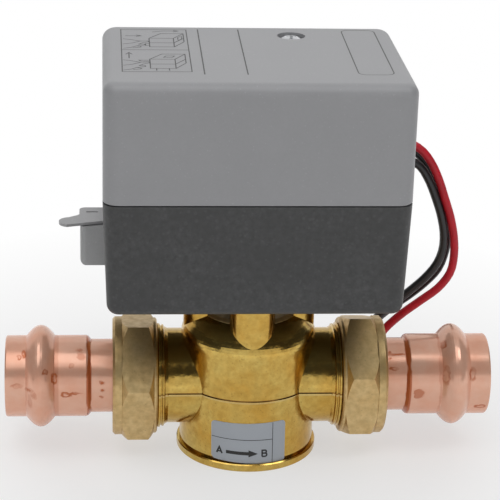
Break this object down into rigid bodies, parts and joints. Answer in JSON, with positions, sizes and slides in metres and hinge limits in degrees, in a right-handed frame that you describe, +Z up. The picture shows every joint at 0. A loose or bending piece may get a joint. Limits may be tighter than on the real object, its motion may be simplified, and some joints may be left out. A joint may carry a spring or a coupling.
{
  "type": "zone valve",
  "caption": "Two-way zone valve: brass body with press-end unions, spring-return motor actuator with manual lever, end switch and wire leads.",
  "frame": {"origin": "on the floor under the centre of the brass body and the bounding box", "axes": "+X along the pipe from port A to port B, +Y to the back of the actuator, +Z up through the stem"},
  "size_m": [0.146, 0.1061, 0.1232],
  "materials": {
    "forged_brass": "polished forging, lacquered",
    "machined_brass": "satin machined",
    "tube_copper": null,
    "stainless": "turned stainless",
    "zinc_steel": "bright zinc plate",
    "seal_rubber": "matt moulded rubber",
    "case_charcoal": "fine spark texture",
    "case_grey": "smooth satin",
    "button_grey": "satin",
    "gear_nylon": "natural acetal",
    "switch_black": "moulded phenolic",
    "plunger_red": "moulded",
    "lever_metal": "light grey coat",
    "wire_red": "PVC insulation",
    "wire_black": "PVC insulation"
  },
  "bodies": {
    "valve": {"valve_body": "forged_brass", "seat_ring": "stainless", "bonnet": "machined_brass", "bonnet_seal": "seal_rubber", "stem_seals": "seal_rubber", "union_gaskets": "seal_rubber", "press_tailpieces": "tube_copper", "press_seals": "seal_rubber", "actuator_base": "case_charcoal", "mount_screws": "zinc_steel", "return_spring": "stainless", "idler_pin": "stainless", "chassis_plate": "zinc_steel", "plate_screws": "zinc_steel", "gear_case": "zinc_steel", "motor_can": "zinc_steel", "motor_screws": "zinc_steel", "end_switch": "switch_black", "switch_terminals": "machined_brass", "cover_post": "zinc_steel", "lead_grommet": "seal_rubber", "lead_red": "wire_red", "lead_black_inner": "wire_black", "lead_black_outer": "wire_black", "coil_red": "wire_red", "coil_black_inner": "wire_black", "coil_black_outer": "wire_black"},
    "drive": {"stem": "stainless", "stem_clip": "stainless", "paddle_arm": "stainless", "paddle_ball": "seal_rubber", "drive_hub": "gear_nylon", "sector_gear": "gear_nylon", "manual_lever": "lever_metal", "hub_screw": "zinc_steel"},
    "idler": {"idler_gear": "gear_nylon"},
    "pinion": {"motor_pinion": "machined_brass"},
    "plunger": {"switch_plunger": "plunger_red"},
    "button": {"release_button": "button_grey"},
    "cover": {"actuator_cover": "case_grey"},
    "screw": {"cover_screw": "zinc_steel"},
    "nut_a": {"union_nut_a": "machined_brass"},
    "nut_b": {"union_nut_b": "machined_brass"}
  },
  "joints": [
    {"name": "stem_turn", "type": "hinge", "parent": "valve", "child": "drive", "pos_m": [0, 0.01, 0], "axis": [0, 0, -1], "range_deg": [0, 24]},
    {"name": "idler_turn", "type": "hinge", "parent": "valve", "child": "idler", "pos_m": [0.024, 0.01, 0.06], "axis": [0, 0, -1], "range_deg": [-120, 0]},
    {"name": "pinion_turn", "type": "hinge", "parent": "valve", "child": "pinion", "pos_m": [0.024, -0.004, 0.06], "axis": [0, 0, -1], "range_deg": [0, 300]},
    {"name": "plunger_slide", "type": "slide", "parent": "valve", "child": "plunger", "axis": [0, 1, 0], "range_m": [0, 0.0012]},
    {"name": "button_press", "type": "slide", "parent": "valve", "child": "button", "axis": [1, 0, 0], "range_m": [0, 0.003], "stiffness_N_per_m": 300},
    {"name": "cover_lift", "type": "slide", "parent": "valve", "child": "cover", "axis": [0, 0, 1], "range_m": [0, 0.06]},
    {"name": "cover_screw_turn", "type": "hinge", "parent": "cover", "child": "screw", "pos_m": [0.012, 0.021, 0.12], "axis": [0, 0, 1], "continuous": true},
    {"name": "nut_a_turn", "type": "hinge", "parent": "valve", "child": "nut_a", "pos_m": [-0.034, 0, 0.0224], "axis": [1, 0, 0], "continuous": true},
    {"name": "nut_b_turn", "type": "hinge", "parent": "valve", "child": "nut_b", "pos_m": [0.034, 0, 0.0224], "axis": [1, 0, 0], "continuous": true}
  ],
  "couplings": [
    {"joint": "idler_turn", "follows": "stem_turn", "ratio": -5},
    {"joint": "pinion_turn", "follows": "stem_turn", "ratio": 12.5},
    {"joint": "plunger_slide", "follows": "stem_turn", "m_per_rad": 0.002865}
  ]
}
